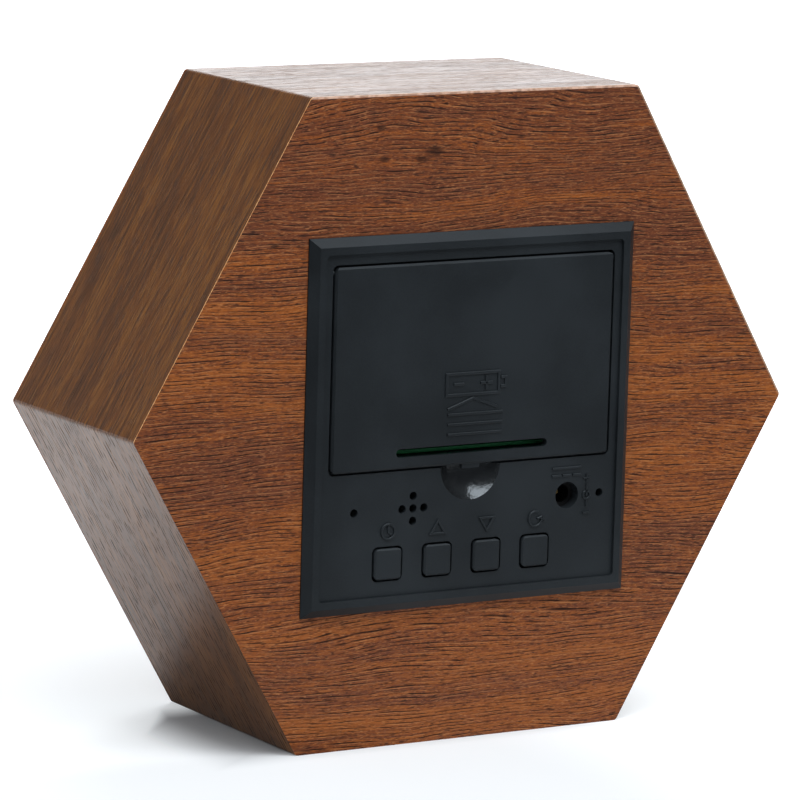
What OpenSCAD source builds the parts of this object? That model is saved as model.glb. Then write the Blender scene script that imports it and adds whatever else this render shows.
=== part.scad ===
// Hexagonal wooden digital alarm clock.
// The display looks out of the front (-Y) through the veneer, and the controls are in a
// square plastic unit let into the back (+Y). The clock stands on its bottom wall at z = 0.

/* [Case] */
// Height of the wood across its flat top and bottom
case_height = 130; // [124:1:150]
// Depth of the wood from front face to back face
case_depth = 51; // [46:1:65]
// Thickness of the six mitred walls
wall_t = 9; // [7:0.5:10]
// Radius of the six long corners
corner_r = 1; // [0.5:0.25:2.5]
// Thickness of the back panel
back_panel_t = 6; // [4:0.5:7]
// Thickness of the front panel
front_panel_t = 5; // [4:0.5:7]
// How far the panels are let into the walls
rebate = 4; // [2:0.5:5]
// Thickness of the wood-grain veneer on the front and the back
veneer_t = 0.6; // [0.3:0.1:1]

/* [Rear housing] */
// Side of the square flange that lies on the back
flange_w = 75; // [74:0.5:80]
// How far the rim of the flange stands proud of the wood
rim_h = 1.9; // [1.7:0.1:3]
// Width of the flat top of the rim
rim_w = 1.5; // [1:0.1:2]
// Run of the bevel round the flange
bevel_w = 1.7; // [1:0.1:2]
// Height of the upright edge below the bevel
bevel_edge = 0.3; // [0.2:0.1:0.6]
// Depth of the control face below the rim
face_drop = 0.6; // [0.3:0.1:1]
// Thickness of the control face
face_t = 2.3; // [2:0.1:3]
// How far the flange overlaps the wood round the cut-out
flange_lap = 2.5; // [2:0.1:3]
// Thickness of the walls that pass through the cut-out
tray_t = 2; // [1.5:0.1:2.5]
// Depth of those walls behind the wood's face
tray_depth = 12; // [11:0.5:16]

/* [Battery door] */
// Width of the opening that the door fills
opening_w = 65.2; // [60:0.2:66]
// Height of the middle of the door above the middle of the case
door_v = 11.4; // [11:0.1:12]
// Width of the ledge above and below the battery box
ledge_w = 2; // [1.6:0.1:2.4]
// Thickness of the door
door_t = 1.6; // [1.4:0.1:1.8]
// Gap round the door
door_gap = 0.45; // [0.3:0.05:0.6]
// How far the door stands proud of the control face
door_proud = 0.5; // [0.2:0.1:0.6]
// Radius of the door's corners
door_r = 1.2; // [0.8:0.1:2.5]
// Bevel round the door's outer edge
door_bevel = 0.4; // [0.2:0.05:0.6]
// Diameter of the two hinge pins at the top of the door
hinge_pin_d = 1; // [0.8:0.1:1.1]
// How far each hinge pin enters the housing
hinge_pin_l = 1; // [0.6:0.1:1.4]
// Depth of the hinge pins below the door's face
hinge_sink = 1.3; // [1.2:0.05:1.4]
// Length of the slot that frees the latch strip
slot_l = 35; // [24:1:44]
// Width of that slot
slot_w = 1.7; // [1.2:0.1:2]
// Height of the slot's middle above the door's lower edge
slot_rise = 3.15; // [2.9:0.05:3.5]

/* [Batteries] */
// Diameter of a cell
cell_d = 10.5; // [10:0.1:10.5]
// Length of a cell with its nub
cell_l = 44.5; // [44:0.1:45]
// Distance between neighbouring cells
cell_pitch = 12.2; // [11.5:0.1:12.2]
// Length of a contact spring
spring_l = 6.4; // [6:0.1:7]
// Turns in a contact spring
spring_turns = 4; // [3:1:4]
// Wire of a contact spring
spring_wire = 0.6; // [0.5:0.05:0.7]

/* [Buttons] */
// Side of a button cap
button_w = 6.2; // [5.6:0.1:6.6]
// Gap round a button cap
button_gap = 0.4; // [0.3:0.05:0.5]
// How far a button stands proud of the control face
button_proud = 0.5; // [0.5:0.1:0.6]
// Corner radius of a button cap
button_r = 1; // [0.6:0.1:1.4]
// Bevel round the top of a button cap
button_bevel = 0.3; // [0.2:0.05:0.4]
// Distance between neighbouring buttons
button_pitch = 11.4; // [10.8:0.1:11.6]
// Middle of the button row, to the right as seen from behind
button_u = -1.5; // [-2.5:0.1:0]
// Height of the button row above the middle of the case
button_v = -27.8; // [-28.2:0.1:-27.6]
// How far a button goes in
button_travel = 0.4; // [0.2:0.05:0.5]

/* [Control row] */
// Height of the row of holes above the middle of the case
row_v = -17.1; // [-17.3:0.1:-16.9]
// Diameter of the hole for the power plug
jack_hole_d = 5.4; // [5:0.1:6]
// Place of the power socket, to the right as seen from behind
jack_u = 23; // [22.5:0.1:23.5]
// Diameter of the socket's barrel
jack_bore_d = 3.8; // [3.6:0.1:4.4]
// Diameter of the socket's centre pin
jack_pin_d = 1.3; // [1:0.1:1.65]
// Diameter of the sound and sensor holes
pip_d = 1.7; // [1.4:0.1:2]
// Distance between neighbouring sound holes
pip_pitch = 2.5; // [2.3:0.1:3]
// Place of the buzzer's five holes
buzzer_u = -13; // [-14:0.1:-13]
// Place of the microphone's hole
microphone_u = -26.5; // [-27.5:0.1:-26]
// Place of the thermistor's hole
thermistor_u = 30.7; // [30.5:0.1:31]
// Width of the thumb scoop below the door
scoop_w = 13.8; // [10:0.2:14]
// Depth of the thumb scoop
scoop_depth = 3; // [2:0.1:3.2]

/* [Display] */
// Height of a digit
digit_h = 26; // [20:1:28]
// Width of a digit
digit_w = 15; // [12:0.5:16]
// Width of a lit segment
segment_w = 3.2; // [2.4:0.1:3.6]
// Distance between the digits of a pair
digit_pitch = 21.5; // [20:0.5:22]
// Distance from the colon to the nearest digit's middle
colon_pitch = 13.5; // [13:0.5:14]
// Width of the window in the front panel
window_w = 92; // [88:1:94]
// Height of that window
window_h = 34; // [32:1:38]

/* [Circuit boards] */
// Thickness of both circuit boards
pcb_t = 1.6; // [1:0.1:1.6]
// Height of a switch body above the control board
switch_h = 3.5; // [3.3:0.1:4]
// Side of a switch body
switch_w = 6; // [5:0.1:6.2]

/* [Hidden] */
$fn = 48;

// Clearances shared by pieces that fit together
glue_gap = 0.05;
seat_gap = 0.1;
slip_gap = 0.3;
eps = 0.01;

// Case
inner_height = case_height - 2 * wall_t;
panel_height = inner_height + 2 * rebate;
total_depth = case_depth + rim_h;
y_back = total_depth / 2 - rim_h;
mid_z = case_height / 2;
back_panel_o = -veneer_t - back_panel_t;
front_o = -case_depth;
front_panel_o = front_o + veneer_t;

// Rear housing: u to the right as seen from behind, v up, o outward from the wood
face_o = rim_h - face_drop;
face_in_o = face_o - face_t;
tray_w = flange_w - 2 * flange_lap;
tray_in_w = tray_w - 2 * tray_t;
face_w = flange_w - 2 * (bevel_w + rim_w);
face_r = 0.8;
cutout_w = tray_w + 2 * slip_gap;

// Battery box and door
cell_count = 3;
cell_margin = 1.35;
cell_under = 0.4;
cell_cover = 0.8;
cell_bevel = 0.4;
nub_l = 1;
nub_d = 3.8;
contact_t = 0.4;
contact_w = 9;
box_t = 1.8;
box_w = cell_l + spring_l + 2 * contact_t + 3 * seat_gap;
box_h = (cell_count - 1) * cell_pitch + cell_d + 2 * cell_margin;
opening_h = box_h + 2 * ledge_w;
opening_top = door_v + opening_h / 2;
opening_bottom = door_v - opening_h / 2;
door_w = opening_w - 2 * door_gap;
door_h = opening_h - 2 * door_gap;
door_o = face_o + door_proud;
door_in_o = door_o - door_t;
ledge_o = door_in_o - glue_gap;
door_top = door_v + door_h / 2;
door_bottom = door_v - door_h / 2;
cell_o = door_in_o - cell_cover - cell_d / 2;
box_floor_o = cell_o - cell_d / 2 - cell_under;

// Hinge of the door: just low enough for its bevelled top edge to clear the opening as it turns
hinge_gap = 0.05;
swing_gap = door_gap - 0.1;
hinge_drop = (pow(hinge_sink, 2) + pow(door_bevel, 2) - pow(swing_gap, 2)) / (2 * (door_bevel + swing_gap));
hinge_v = door_top - hinge_drop;
hinge_o = door_o - hinge_sink;
hinge_sweep = norm([door_t - hinge_sink, hinge_drop]);
hinge_room_o = hinge_o - hinge_sweep - seat_gap;
hinge_back_t = 1.5;

// Latch at the bottom of the door
latch_w = 8;
latch_t = 0.6;
latch_reach = 1.4;
lip_w = 4;
lip_t = 0.7;
lip_drop = 0.5;
slot_v = door_bottom + slot_rise;
box_bottom = door_v - box_h / 2;

// Stiffening ribs inside the door, and ribs between the cells
door_rib_t = 1;
door_rib_h = 0.4;
door_rib_u = 13;
door_rib_end = 4;
cell_rib_t = 0.9;
cell_rib_h = 3.4;
cell_rib_l = 31;

// Snap hooks that hold the housing in the back panel
hook_v = 22;
hook_w = 8;
hook_out = 0.9;
hook_slit = 0.8;

// Controls, from the face inward
button_o = face_o + button_proud;
cap_flange_w = button_w + 2.2;
cap_flange_t = 0.8;
stem_d = 3.2;
stem_l = 0.6;
cap_flange_o = face_in_o - seat_gap - cap_flange_t;
plunger_o = cap_flange_o - stem_l;
plunger_d = 3.5;
plunger_rise = 0.8;
plunger_sunk = 1;
pcb_o = plunger_o - plunger_rise - switch_h;
pcb_in_o = pcb_o - pcb_t;
pcb_margin = 0.6;
pcb_w = tray_in_w - 2 * pcb_margin;
pcb_bottom = -tray_in_w / 2 + pcb_margin;
pcb_top = box_bottom - box_t - pcb_margin;
button_places = [for (i = [0:3]) [button_u + (i - 1.5) * button_pitch, button_v]];

// Power socket
jack_w = 8.6;
jack_l = 11.5;
jack_o = face_in_o - seat_gap;
jack_back_t = 2;
jack_pin_back = 1.5;
jack_tip = 0.3;
jack_seat_t = 1.2;
pin_collar_d = 2.4;

// Sound and sensing pieces on the control board
buzzer_d = 12;
buzzer_bevel = 0.8;
buzzer_mouth_d = 2.5;
buzzer_mouth_l = 2;
microphone_d = 6;
felt_d = 4.4;
felt_sink = 0.4;
bead_d = 1.8;
lead_d = 0.5;

// Thumb scoop: a ball that leaves a round hollow in the control face
scoop_r = (pow(scoop_w / 2, 2) + pow(scoop_depth, 2)) / (2 * scoop_depth);
scoop_o = face_o + scoop_r - scoop_depth;
scoop_shell = 1.5;
scoop_v = opening_bottom;
scoop_under = 0.8;

// Bosses and screws of the control board
boss_d = 5.5;
boss_cap = 0.6;
screw_d = 2.3;
screw_head_d = 4.6;
screw_rim_h = 1;
screw_crown_h = 0.7;
screw_crown_d = 2.8;
screw_slot_l = 2.5;
screw_slot_w = 0.6;
screw_slot_h = 0.7;
control_screw_l = 5.4;
display_screw_l = 5;
boss_edge = 3.5;
boss_places = [
    [boss_edge - pcb_w / 2, pcb_bottom + boss_d / 2], [pcb_w / 2 - boss_edge, pcb_bottom + boss_d / 2],
    [0, pcb_top - boss_edge]
];

// Display, from the front face inward
diffuser_t = 1;
diffuser_o = front_panel_o + diffuser_t;
frame_back_o = front_o + veneer_t + front_panel_t;
led_size = [2, 1.25, 0.8];
guide_gap = 0.05;
colon_d = 3.6;
colon_rise = digit_h / 5;
display_margin = 2;
display_lap = 5;
display_pcb_h = window_h + 2 * display_lap;
display_pcb_w = (2 * inner_height - display_pcb_h) / sqrt(3) - 2 * display_margin;
display_pcb_o = frame_back_o + pcb_t;
display_screw_places = [
    for (i = [-1, 1], j = [-1, 1]) [i * (window_w / 2 - display_lap), j * (window_h + display_lap) / 2]
];
digit_places = [
    -colon_pitch - digit_pitch, -colon_pitch, colon_pitch, colon_pitch + digit_pitch
];

// Pieces on the display board, set out from its ends
chip_edge = 26;
chip_place = [chip_edge - display_pcb_w / 2, 8];
chip_size = [18, 7.5, 2.3];
crystal_pitch = 16;
crystal_place = chip_place - [crystal_pitch, 0];
crystal_d = 2.6;
crystal_l = 8;
capacitor_edge = 20;
capacitor_place = [display_pcb_w / 2 - capacitor_edge, 8];
capacitor_d = 6.3;
capacitor_h = 11;

// Ribbon between the two boards
ribbon_u = 4;
ribbon_w = 8;
ribbon_t = 0.9;
header_w = 10.5;
header_h = 4;
header_l = 5;
ribbon_low_v = -21;
ribbon_high_v = -14;
ribbon_bend = 50;

// Battery leads, from the contact tails to the control board, as seen from behind
wire_d = 1.2;
tail_l = 2.4;
tail_w = 2;
positive_route = [
    [28, 22, -15.4], [28.4, 17, -16], [28.4, 8, -16], [28.4, -1, -16],
    [27, -8, -15.6], [22, -12, -14.2], [15, -14, -12.6], [12, -14.4, -11]
];
negative_route = [[-28, -3, -15.4], [-27.6, -8, -15], [-25, -12, -13.6], [-23, -14.4, -11]];

// Colours
walnut = "#7b4526";
raw_board = "#b08d62";
black_plastic = "#2a2d31";
board_green = "#1d5a34";
bright_metal = "#c8cacc";
brass = "#c9a24a";
milky = "#e6e6e0";

// Puts a sketch drawn as seen from behind, x to the right and y up, on the back of the wood,
// and its height outward.
module at_back(o = 0) {
    translate([0, y_back + o, mid_z]) rotate([90, 0, 180]) children();
}

// Flat shapes
module hexagon(height) {
    circle(r = height / sqrt(3), $fn = 6);
}

// Points of a round corner between two sides of a hexagon, over the half turn that is asked for
function corner_arc(height, r, corner, from, to) = [
    for (a = [corner + from:7.5:corner + to])
        (height / 2 - r) / cos(30) * [cos(corner), sin(corner)] + r * [cos(a), sin(a)]
];

module rounded_hexagon(height, r) {
    polygon([for (i = [0:5]) each corner_arc(height, r, 60 * i, -30, 30)]);
}

module rounded_rect(w, h, r) {
    polygon([
        for (corner = [45:90:315], a = [-45:15:45])
            [sign(cos(corner)) * (w / 2 - r), sign(sin(corner)) * (h / 2 - r)]
                + r * [cos(corner + a), sin(corner + a)]
    ]);
}

// A bar along y whose top edges are bevelled, standing on z = 0
module bevelled_bar(w, l, h, bevel, edge) {
    rotate([90, 0, 0]) linear_extrude(l, center = true) polygon([
        [-w / 2, 0], [w / 2, 0], [w / 2, edge],
        [w / 2 - bevel, h], [bevel - w / 2, h], [-w / 2, edge]
    ]);
}

// A plate with round corners whose top edges are bevelled: a block trimmed by two sloping roofs
module bevelled_plate(w, h, t, r, bevel) {
    intersection() {
        linear_extrude(t + bevel) rounded_rect(w, h, r);
        translate([0, 0, -t]) bevelled_bar(w + 2 * bevel, 2 * h, 2 * t, 2 * bevel, 2 * t - 2 * bevel);
        translate([0, 0, -t]) rotate(90)
            bevelled_bar(h + 2 * bevel, 2 * w, 2 * t + bevel / 2, 2.5 * bevel, 2 * t - 2 * bevel);
    }
}

// A pan-head screw with its head on z = 0 and its shank along -z
module screw(shank_l) {
    difference() {
        union() {
            cylinder(h = screw_rim_h, d = screw_head_d);
            translate([0, 0, screw_rim_h])
                cylinder(h = screw_crown_h, d1 = screw_head_d, d2 = screw_crown_d);
            translate([0, 0, -shank_l]) cylinder(h = shank_l, d = screw_d);
        }
        for (turn = [0, 90]) rotate(turn) translate([0, 0, screw_rim_h + screw_crown_h])
            cube([screw_slot_l, screw_slot_w, 2 * screw_slot_h], center = true);
    }
}

// A round tube along a list of points; beside holds, for each point, a direction across the tube
function unit(v) = v / norm(v);
function along(p) = [
    for (i = [0:len(p) - 1]) unit(p[min(i + 1, len(p) - 1)] - p[max(i - 1, 0)])
];
module tube(p, d, sides, beside) {
    t = along(p);
    last = (len(p) - 1) * sides;
    polyhedron(
        points = [
            for (i = [0:len(p) - 1])
                let (n = unit(cross(t[i], beside[i])), b = cross(t[i], n))
                for (k = [0:sides - 1])
                    p[i] + d / 2 * (cos(360 * k / sides) * n + sin(360 * k / sides) * b)
        ],
        faces = concat(
            [for (k = [1:sides - 2]) [0, k + 1, k]],
            [for (k = [1:sides - 2]) [last, last + k, last + k + 1]],
            [
                for (i = [0:len(p) - 2], k = [0:sides - 1], half = [0, 1])
                    let (
                        a = i * sides + k, b = i * sides + (k + 1) % sides,
                        c = a + sides, e = b + sides
                    )
                    half == 0 ? [a, b, e] : [a, e, c]
            ]
        )
    );
}

// Wooden case
// One wall, drawn as the top one: mitred at both ends, with a rebate for each panel
module wall(turn) {
    l = case_depth - 2 * veneer_t;
    inner_corner = inner_height / 2 * [tan(30), 1];
    color(walnut) at_back(front_panel_o) rotate(turn) difference() {
        linear_extrude(l) polygon(concat(
            [inner_corner],
            corner_arc(case_height, corner_r, 60, 0, 30),
            corner_arc(case_height, corner_r, 120, -30, 0),
            [[-inner_corner[0], inner_corner[1]]]
        ));
        for (z = [-1, l - back_panel_t])
            translate([-case_height / 2, 0, z])
                cube([case_height, panel_height / 2, 1 + (z < 0 ? front_panel_t : back_panel_t)]);
    }
}

module back_panel() {
    color(raw_board) at_back(back_panel_o) linear_extrude(back_panel_t) difference() {
        hexagon(panel_height - 2 * glue_gap);
        square(cutout_w, center = true);
    }
}

module back_veneer() {
    color(walnut) at_back(-veneer_t) linear_extrude(veneer_t) difference() {
        rounded_hexagon(case_height, corner_r);
        square(cutout_w, center = true);
    }
}

module front_panel() {
    color(raw_board) at_back(front_panel_o) linear_extrude(front_panel_t) difference() {
        hexagon(panel_height - 2 * glue_gap);
        square([window_w, window_h], center = true);
        for (p = display_screw_places) translate(p) circle(d = screw_d + seat_gap);
    }
}

module front_veneer() {
    color(walnut) at_back(front_o) linear_extrude(veneer_t) rounded_hexagon(case_height, corner_r);
}

// Rear housing
module housing_flange() {
    intersection() {
        bevelled_bar(flange_w, flange_w, rim_h, bevel_w, bevel_edge);
        rotate(90) bevelled_bar(flange_w, flange_w, rim_h, bevel_w, bevel_edge);
    }
    translate([0, 0, face_in_o]) linear_extrude(eps - face_in_o) square(tray_w, center = true);
}

module tray_walls() {
    difference() {
        translate([0, 0, -tray_depth]) linear_extrude(tray_depth) difference() {
            square(tray_w, center = true);
            square(tray_in_w, center = true);
        }
        for (i = [-1, 1], j = [-1, 1], edge = [-1, 1]) {
            slit_v = j * hook_v + edge * (hook_w + hook_slit) / 2;
            translate([i * (tray_w - tray_t) / 2, slit_v, -tray_depth])
                cube([2 * tray_t, hook_slit, 2 * (tray_depth + face_in_o - 1)], center = true);
        }
    }
    for (i = [-1, 1], j = [-1, 1])
        translate([i * tray_w / 2, j * hook_v, 0]) rotate([90, 0, 0]) linear_extrude(hook_w, center = true)
            polygon([
                [-i * eps, back_panel_o - seat_gap], [i * (slip_gap + hook_out), back_panel_o - seat_gap],
                [i * (slip_gap + hook_out), back_panel_o - 1], [-i * eps, 1 - tray_depth]
            ]);
}

module battery_box_walls() {
    top = tray_in_w / 2 + eps;
    bottom = box_bottom - box_t;
    translate([0, (top + bottom) / 2, box_floor_o - box_t])
        linear_extrude(face_in_o - box_floor_o + box_t + eps)
            square([box_w + 2 * box_t, top - bottom], center = true);
}

module battery_box_cavity() {
    translate([0, door_v, box_floor_o]) linear_extrude(rim_h - box_floor_o)
        square([box_w, box_h], center = true);
}

// Low ribs on the floor of the battery box, between the cells
module battery_ribs() {
    for (i = [0:cell_count - 2])
        translate([0, door_v + (i - (cell_count - 2) / 2) * cell_pitch, box_floor_o - eps])
            linear_extrude(cell_rib_h + eps) square([cell_rib_l, cell_rib_t], center = true);
}

// Backing behind the top of the door, the hollow there for its swing, and the holes for its pins
module hinge_backing() {
    low = door_v + box_h / 2;
    high = tray_in_w / 2 + eps;
    translate([0, (low + high) / 2, hinge_room_o - hinge_back_t])
        linear_extrude(face_in_o - hinge_room_o + hinge_back_t + eps)
            square([tray_in_w + 2 * eps, high - low], center = true);
}

module hinge_room() {
    low = hinge_v - hinge_sweep - seat_gap;
    translate([0, (low + opening_top) / 2, hinge_room_o])
        linear_extrude(ledge_o - hinge_room_o + eps)
            square([opening_w, opening_top - low], center = true);
    for (i = [-1, 1]) translate([i * (opening_w / 2 + hinge_pin_l + seat_gap), hinge_v, hinge_o])
        rotate([0, -i * 90, 0]) cylinder(h = 2 * hinge_pin_l, d = hinge_pin_d + 2 * hinge_gap);
}

module thumb_scoop(extra) {
    intersection() {
        translate([0, scoop_v, scoop_o]) sphere(scoop_r + extra, $fn = 96);
        translate([-scoop_w, scoop_v - scoop_w, face_in_o - scoop_depth - 2 * scoop_shell])
            cube([2 * scoop_w, scoop_w + (extra > 0 ? box_t : scoop_under),
                face_o - face_in_o + scoop_depth + 2 * scoop_shell + (extra > 0 ? -eps : 1)]);
    }
}

module jack_seat() {
    wall = jack_w + 2 * (seat_gap + jack_seat_t);
    depth = jack_o - pcb_o - slip_gap;
    translate([jack_u, row_v, jack_o - depth]) linear_extrude(depth + seat_gap + eps)
        square(wall, center = true);
}

module jack_room() {
    translate([jack_u, row_v, jack_o - jack_l]) linear_extrude(jack_l)
        square(jack_w + 2 * seat_gap, center = true);
}

// Five sound holes in a cross, and one hole each for the microphone and the thermistor
function pip_places() = concat(
    [[buzzer_u, row_v], [microphone_u, row_v], [thermistor_u, row_v]],
    [for (turn = [0:90:270]) [buzzer_u, row_v] + pip_pitch * [cos(turn), sin(turn)]]
);

// Slots in the floor of the battery box for the tails of the two end contacts
function tail_places() = [
    [-1, door_v - cell_pitch], [1, door_v + cell_pitch]
];

module rear_housing() {
    color(black_plastic) at_back() difference() {
        union() {
            difference() {
                union() {
                    housing_flange();
                    tray_walls();
                    battery_box_walls();
                    hinge_backing();
                    thumb_scoop(scoop_shell);
                    jack_seat();
                    for (p = boss_places) translate([p[0], p[1], pcb_o])
                        cylinder(h = face_in_o - pcb_o + eps, d = boss_d);
                }
                battery_box_cavity();
            }
            battery_ribs();
        }
        translate([0, 0, face_o]) linear_extrude(rim_h) rounded_rect(face_w, face_w, face_r);
        translate([0, door_v, ledge_o]) linear_extrude(rim_h - ledge_o)
            rounded_rect(opening_w, opening_h, door_r);
        hinge_room();
        thumb_scoop(0);
        jack_room();
        for (p = button_places) translate([p[0], p[1], face_in_o - 1]) linear_extrude(rim_h - face_in_o + 1)
            rounded_rect(button_w + 2 * button_gap, button_w + 2 * button_gap, button_r + button_gap / 2);
        translate([jack_u, row_v, face_in_o - 1]) cylinder(h = rim_h - face_in_o + 1, d = jack_hole_d);
        for (p = pip_places()) translate([p[0], p[1], face_in_o - 1])
            cylinder(h = rim_h - face_in_o + 1, d = pip_d);
        for (p = boss_places) translate([p[0], p[1], pcb_o - eps])
            cylinder(h = face_in_o - pcb_o - boss_cap, d = screw_d + seat_gap);
        for (p = tail_places()) translate([p[0] * (box_w - contact_t) / 2, p[1], box_floor_o - box_t - 1])
            linear_extrude(box_t + 2)
                square([contact_t + 2 * seat_gap, tail_w + 2 * slip_gap], center = true);
    }
}

// Battery door
module battery_door() {
    color(black_plastic) at_back() difference() {
        union() {
            translate([0, door_v, door_in_o]) bevelled_plate(door_w, door_h, door_t, door_r, door_bevel);
            for (i = [-1, 1]) translate([i * (door_w / 2 + door_gap + hinge_pin_l), hinge_v, hinge_o])
                rotate([0, -i * 90, 0]) cylinder(h = door_gap + hinge_pin_l + door_r, d = hinge_pin_d);
            // stiffening ribs, which also keep the cells down
            for (i = [-1, 1]) translate([i * door_rib_u, door_v, door_in_o - door_rib_h])
                linear_extrude(door_rib_h + eps)
                    square([door_rib_t, box_h - 2 * door_rib_end], center = true);
            // latch strip's catch and the lip for the thumb
            translate([0, box_bottom + seat_gap + latch_t / 2, door_in_o - latch_reach])
                linear_extrude(latch_reach + eps) square([latch_w, latch_t], center = true);
            translate([0, door_bottom - lip_drop / 2, door_o - door_bevel - lip_t])
                linear_extrude(lip_t) square([lip_w, lip_drop + 2 * door_bevel], center = true);
        }
        translate([0, slot_v, door_in_o - 1]) linear_extrude(door_t + 2)
            rounded_rect(slot_l, slot_w, slot_w / 2 - eps);
    }
}

// Buttons and the switches behind them
module button(i) {
    cap_h = button_o - cap_flange_o - cap_flange_t + eps;
    color(black_plastic) at_back() translate(button_places[i]) {
        translate([0, 0, cap_flange_o]) linear_extrude(cap_flange_t) square(cap_flange_w, center = true);
        translate([0, 0, button_o - cap_h])
            bevelled_plate(button_w, button_w, cap_h, button_r, button_bevel);
        translate([0, 0, plunger_o]) cylinder(h = stem_l + eps, d = stem_d);
    }
}

module plunger(i) {
    l = plunger_rise + plunger_sunk;
    color("#15171a") at_back(plunger_o - l) translate(button_places[i]) cylinder(h = l, d = plunger_d);
}

module switch_bodies() {
    bore_l = plunger_sunk + button_travel + slip_gap;
    color("#33363a") at_back() for (p = button_places) translate([p[0], p[1], pcb_o]) difference() {
        linear_extrude(switch_h) square(switch_w, center = true);
        translate([0, 0, switch_h - bore_l]) cylinder(h = bore_l + 1, d = plunger_d + 2 * seat_gap);
    }
}

module control_board() {
    notch = jack_w + 2 * slip_gap;
    color(board_green) at_back(pcb_in_o) linear_extrude(pcb_t) difference() {
        translate([-pcb_w / 2, pcb_bottom]) square([pcb_w, pcb_top - pcb_bottom]);
        translate([jack_u - notch / 2, row_v - notch / 2]) square([notch, pcb_top - row_v + notch]);
        for (p = boss_places) translate(p) circle(d = screw_d + 2 * slip_gap);
    }
}

module control_board_screws() {
    color(bright_metal) at_back(pcb_in_o) for (p = boss_places)
        translate(p) mirror([0, 0, 1]) screw(control_screw_l);
}

// Power socket
module dc_jack() {
    color("#1b1c1e") at_back() translate([jack_u, row_v, jack_o - jack_l]) difference() {
        linear_extrude(jack_l) square(jack_w, center = true);
        translate([0, 0, jack_back_t]) cylinder(h = jack_l, d = jack_bore_d);
        translate([0, 0, -1]) cylinder(h = jack_back_t + 2, d = pin_collar_d + 2 * glue_gap);
    }
}

module dc_jack_pin() {
    tip = jack_tip;
    shank = jack_l - jack_back_t - jack_pin_back - tip;
    color(brass) at_back() translate([jack_u, row_v, jack_o - jack_l]) {
        cylinder(h = jack_back_t, d = pin_collar_d);
        translate([0, 0, jack_back_t]) cylinder(h = shank, d = jack_pin_d);
        translate([0, 0, jack_back_t + shank])
            cylinder(h = tip, d1 = jack_pin_d, d2 = jack_pin_d - 2 * tip);
    }
}

// Sound and sensing
module buzzer() {
    h = face_in_o - slip_gap - pcb_o;
    color("#17181a") at_back() translate([buzzer_u, row_v, pcb_o]) difference() {
        union() {
            cylinder(h = h - buzzer_bevel, d = buzzer_d);
            translate([0, 0, h - buzzer_bevel])
                cylinder(h = buzzer_bevel, d1 = buzzer_d, d2 = buzzer_d - 2 * buzzer_bevel);
        }
        translate([0, 0, h - buzzer_mouth_l]) cylinder(h = 2 * buzzer_mouth_l, d = buzzer_mouth_d);
    }
}

module microphone() {
    h = face_in_o - slip_gap - pcb_o;
    color(bright_metal) at_back() translate([microphone_u, row_v, pcb_o]) difference() {
        cylinder(h = h, d = microphone_d);
        translate([0, 0, h - felt_sink]) cylinder(h = 2 * felt_sink, d = felt_d);
    }
}

module thermistor() {
    bead_h = face_in_o - slip_gap - bead_d / 2 - pcb_o;
    color("#202225") at_back() translate([thermistor_u, row_v, pcb_o]) {
        translate([0, 0, bead_h]) sphere(d = bead_d);
        for (j = [-1, 1]) translate([0, j * bead_d / 4, 0]) cylinder(h = bead_h, d = lead_d);
    }
}

// Cells lie along the box, every other one turned round
function cell_way(i) = i % 2 == 0 ? 1 : -1;
module battery(i) {
    negative_u = box_w / 2 - contact_t - seat_gap - spring_l - seat_gap;
    color("#2c7a45") at_back() translate([-cell_way(i) * negative_u, door_v + (i - 1) * cell_pitch, cell_o])
        rotate([0, cell_way(i) * 90, 0]) rotate_extrude() polygon([
            [0, 0], [cell_d / 2 - cell_bevel, 0], [cell_d / 2, cell_bevel],
            [cell_d / 2, cell_l - nub_l - cell_bevel], [cell_d / 2 - cell_bevel, cell_l - nub_l],
            [nub_d / 2, cell_l - nub_l], [nub_d / 2, cell_l], [0, cell_l]
        ]);
}

// A tapered coil from its plate to the cell's flat end, along +z
spring_base_r = 3.8;
spring_tip_r = 2.4;
spring_rings = 8;
spring_sides = 6;
function spring_points() =
    let (
        count = spring_turns * spring_rings,
        rise = spring_l - 2 * spring_wire
    )
    [
        for (i = [0:count])
            let (s = i / count, r = spring_base_r + (spring_tip_r - spring_base_r) * s)
            [r * cos(360 * i / spring_rings), r * sin(360 * i / spring_rings), spring_wire + rise * s]
    ];
function spring_path() =
    let (p = spring_points(), last = p[len(p) - 1])
    concat([p[0] - [0, 0, spring_wire]], p, [last + [0, 0, spring_wire]]);
function spring_beside() = [for (p = spring_path()) unit([p[0], p[1], 0])];
// Least gap between stretches of wire that are at least half a turn apart
function spring_gap() =
    let (p = spring_points())
    min([
        for (i = [0:len(p) - 1], j = [0:len(p) - 1])
            if (j - i >= spring_rings / 2) norm(p[j] - p[i]) - spring_wire
    ]);
echo(least_gap_between_spring_turns = spring_gap());

module battery_springs() {
    base_u = box_w / 2 - contact_t - seat_gap;
    color(bright_metal) at_back() for (i = [0:cell_count - 1])
        translate([-cell_way(i) * base_u, door_v + (i - 1) * cell_pitch, cell_o])
            rotate([0, cell_way(i) * 90, 0])
                tube(spring_path(), spring_wire, spring_sides, spring_beside());
}

module contact_plate(side, from, to) {
    centre = door_v + (from + to) / 2 * cell_pitch;
    translate([side * (box_w / 2 - contact_t / 2), centre, cell_o])
        cube([contact_t, contact_w + (to - from) * cell_pitch, contact_w], center = true);
}

module battery_contacts() {
    tail_top = cell_o;
    tail_end = box_floor_o - box_t - tail_l;
    color(bright_metal) at_back() {
        contact_plate(-1, -1, -1);
        contact_plate(-1, 0, 1);
        contact_plate(1, -1, 0);
        contact_plate(1, 1, 1);
        for (p = tail_places()) translate([p[0] * (box_w - contact_t) / 2, p[1], (tail_top + tail_end) / 2])
            cube([contact_t, tail_w, tail_top - tail_end], center = true);
    }
}

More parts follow.
